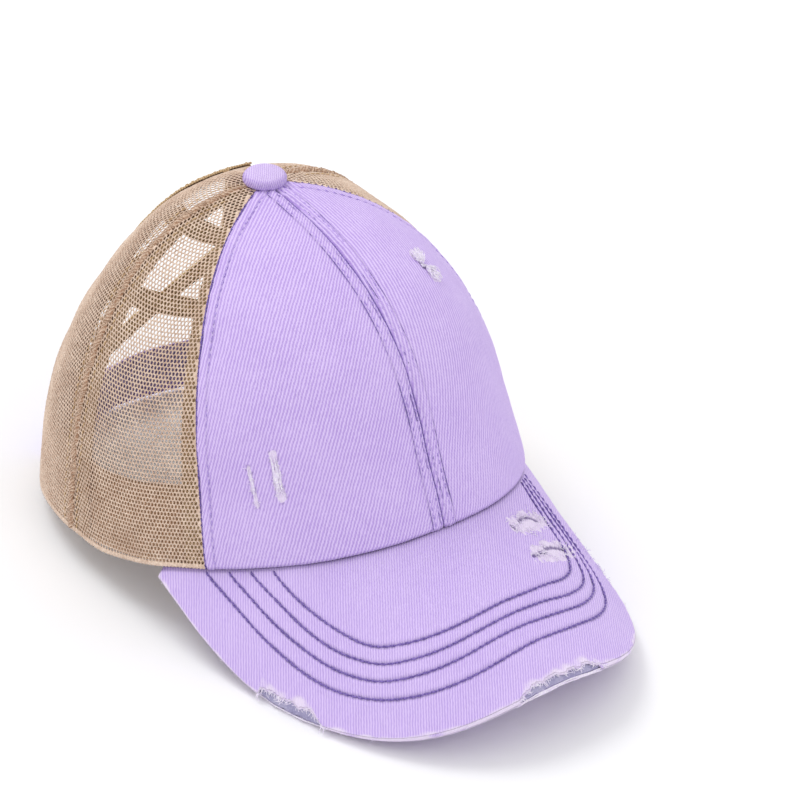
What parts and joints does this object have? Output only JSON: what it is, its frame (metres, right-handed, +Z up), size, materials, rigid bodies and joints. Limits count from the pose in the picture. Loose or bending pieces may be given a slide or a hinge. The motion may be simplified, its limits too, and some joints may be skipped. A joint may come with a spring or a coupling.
{
  "type": "ponytail baseball cap",
  "caption": "Cap with twill front panels, open mesh sides and back, a curved brim, and a tall back opening laced with crossed elastics above a hook-and-loop strap.",
  "frame": {"origin": "on the surface that the cap stands on, at the middle of its footprint", "axes": "+Z up, -Y towards the tip of the brim, +X towards the wearer's left"},
  "size_m": [0.168, 0.2676, 0.1444],
  "materials": {
    "front_twill": "lilac cotton twill with a diagonal rib, worn at the edges",
    "mesh_cloth": "tan knitted mesh with small staggered holes",
    "tape": "tan herringbone tape",
    "sweatband_cloth": "brown woven band",
    "elastic": "ribbed tan-yellow elastic with raised edges",
    "closure_cloth": "deeper lilac webbing",
    "loop_pile": "fuzzy loop pile of a hook-and-loop fastener",
    "patch_leather": "plain brown leather, lightly grained",
    "brim_stiffener": "dull grey-purple stiffener"
  },
  "bodies": {
    "root": {"front_panel_right": "front_twill", "front_panel_left": "front_twill", "side_panel_right": "mesh_cloth", "side_panel_left": "mesh_cloth", "back_panel_right": "mesh_cloth", "back_panel_left": "mesh_cloth", "seam_tape_front_right": "tape", "seam_tape_front_left": "tape", "seam_tape_back_right": "tape", "seam_tape_back_left": "tape", "opening_tape_right": "tape", "opening_tape_left": "tape", "sweatband": "sweatband_cloth", "elastic_upper_over": "elastic", "elastic_upper_under": "elastic", "elastic_lower_over": "elastic", "elastic_lower_under": "elastic", "closure_tab": "closure_cloth", "closure_loop_strip": "loop_pile", "patch": "patch_leather", "brim_cover_under": "front_twill", "brim_board": "brim_stiffener", "brim_cover_top": "front_twill", "button": "front_twill"}
  },
  "joints": []
}
